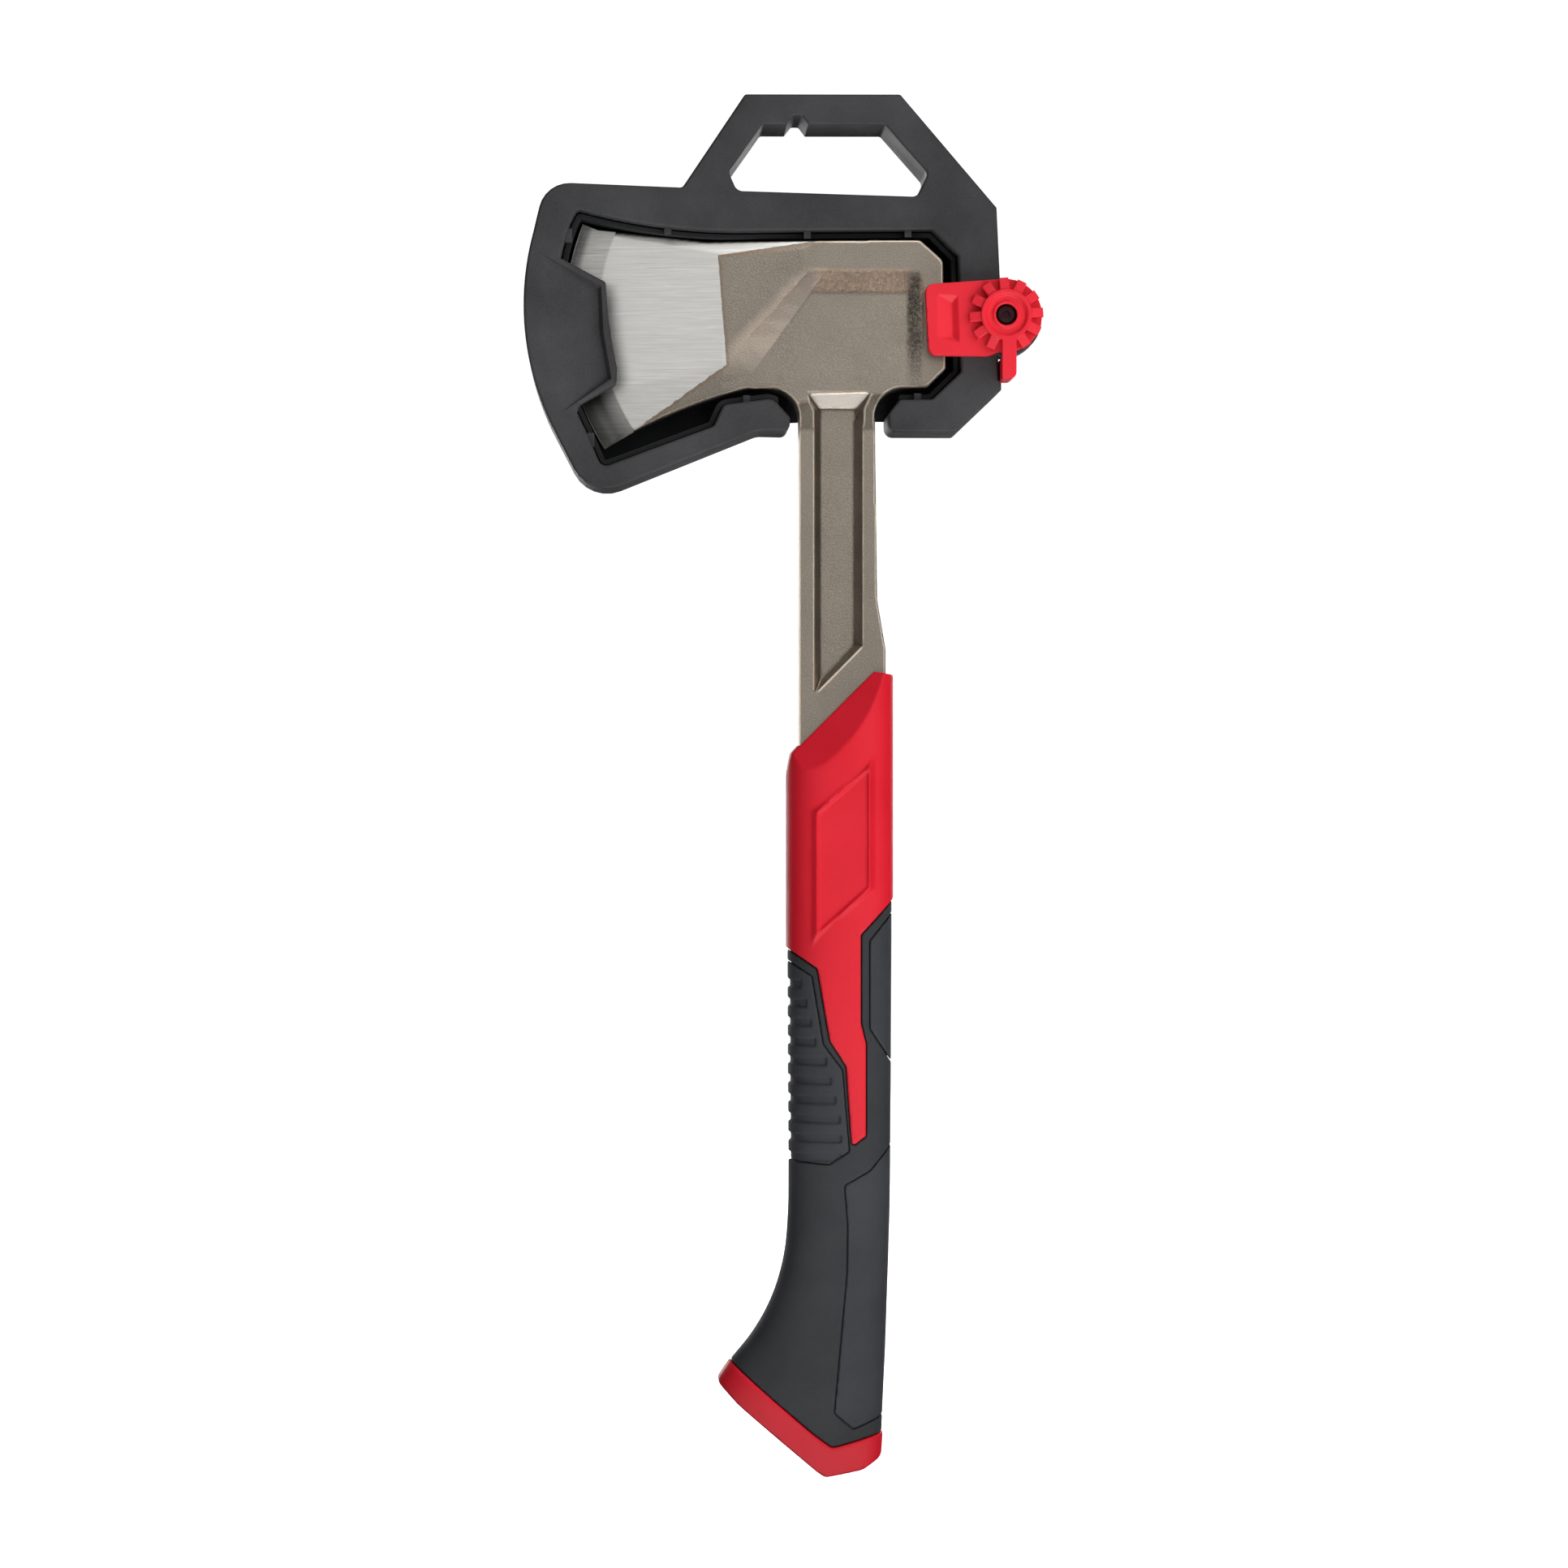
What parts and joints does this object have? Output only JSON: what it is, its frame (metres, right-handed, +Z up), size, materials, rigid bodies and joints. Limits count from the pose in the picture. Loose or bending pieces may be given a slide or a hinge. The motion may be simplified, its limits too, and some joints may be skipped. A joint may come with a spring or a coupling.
{
  "type": "camping hatchet with hard sheath",
  "caption": "One-piece forged hatchet with an overmoulded grip, clipped into a hard carry sheath whose handle hangs on a hook and whose pivoting latch holds the poll.",
  "frame": {"origin": "top of the hanging notch in the carry handle, on the hatchet's mid-plane", "axes": "+Z up along the haft towards the carry handle, +X from the cutting edge towards the poll, +Y from the open side of the sheath towards its back"},
  "size_m": [0.1662, 0.0371, 0.4438],
  "materials": {
    "coated_steel": "fine orange-peel clear coat on the forging, brushed bare steel on the bit",
    "grip_red": "satin",
    "soft_rubber": "matte, fine grain",
    "sheath_plastic": "fine spark-eroded grain",
    "liner_plastic": "matte",
    "latch_red": "satin",
    "zinc_steel": "zinc plated",
    "black_steel": "black oxide",
    "brass": "turned"
  },
  "bodies": {
    "sheathed_hatchet": {"hatchet_forging": "coated_steel", "grip_core": "grip_red", "grip_overmould": "soft_rubber", "front_rib_pad": "soft_rubber", "upper_back_pad": "soft_rubber", "lower_back_pad": "soft_rubber", "butt_cap": "grip_red", "sheath_frame": "sheath_plastic", "pocket_tray": "liner_plastic", "threaded_insert": "brass", "detent_spring": "zinc_steel", "pivot_bush": "zinc_steel", "pivot_washer": "zinc_steel", "pivot_screw": "black_steel", "tray_screw_1": "zinc_steel", "tray_screw_2": "zinc_steel", "tray_screw_3": "zinc_steel", "tray_screw_4": "zinc_steel", "tray_screw_5": "zinc_steel", "tray_screw_6": "zinc_steel"},
    "latch": {"latch_arm": "latch_red", "latch_dial": "latch_red"}
  },
  "joints": [
    {"name": "latch_swing", "type": "hinge", "parent": "sheathed_hatchet", "child": "latch", "pos_m": [0.0665, -0.016, -0.0643], "axis": [0, -1, 0], "range_deg": [0, 90]}
  ]
}
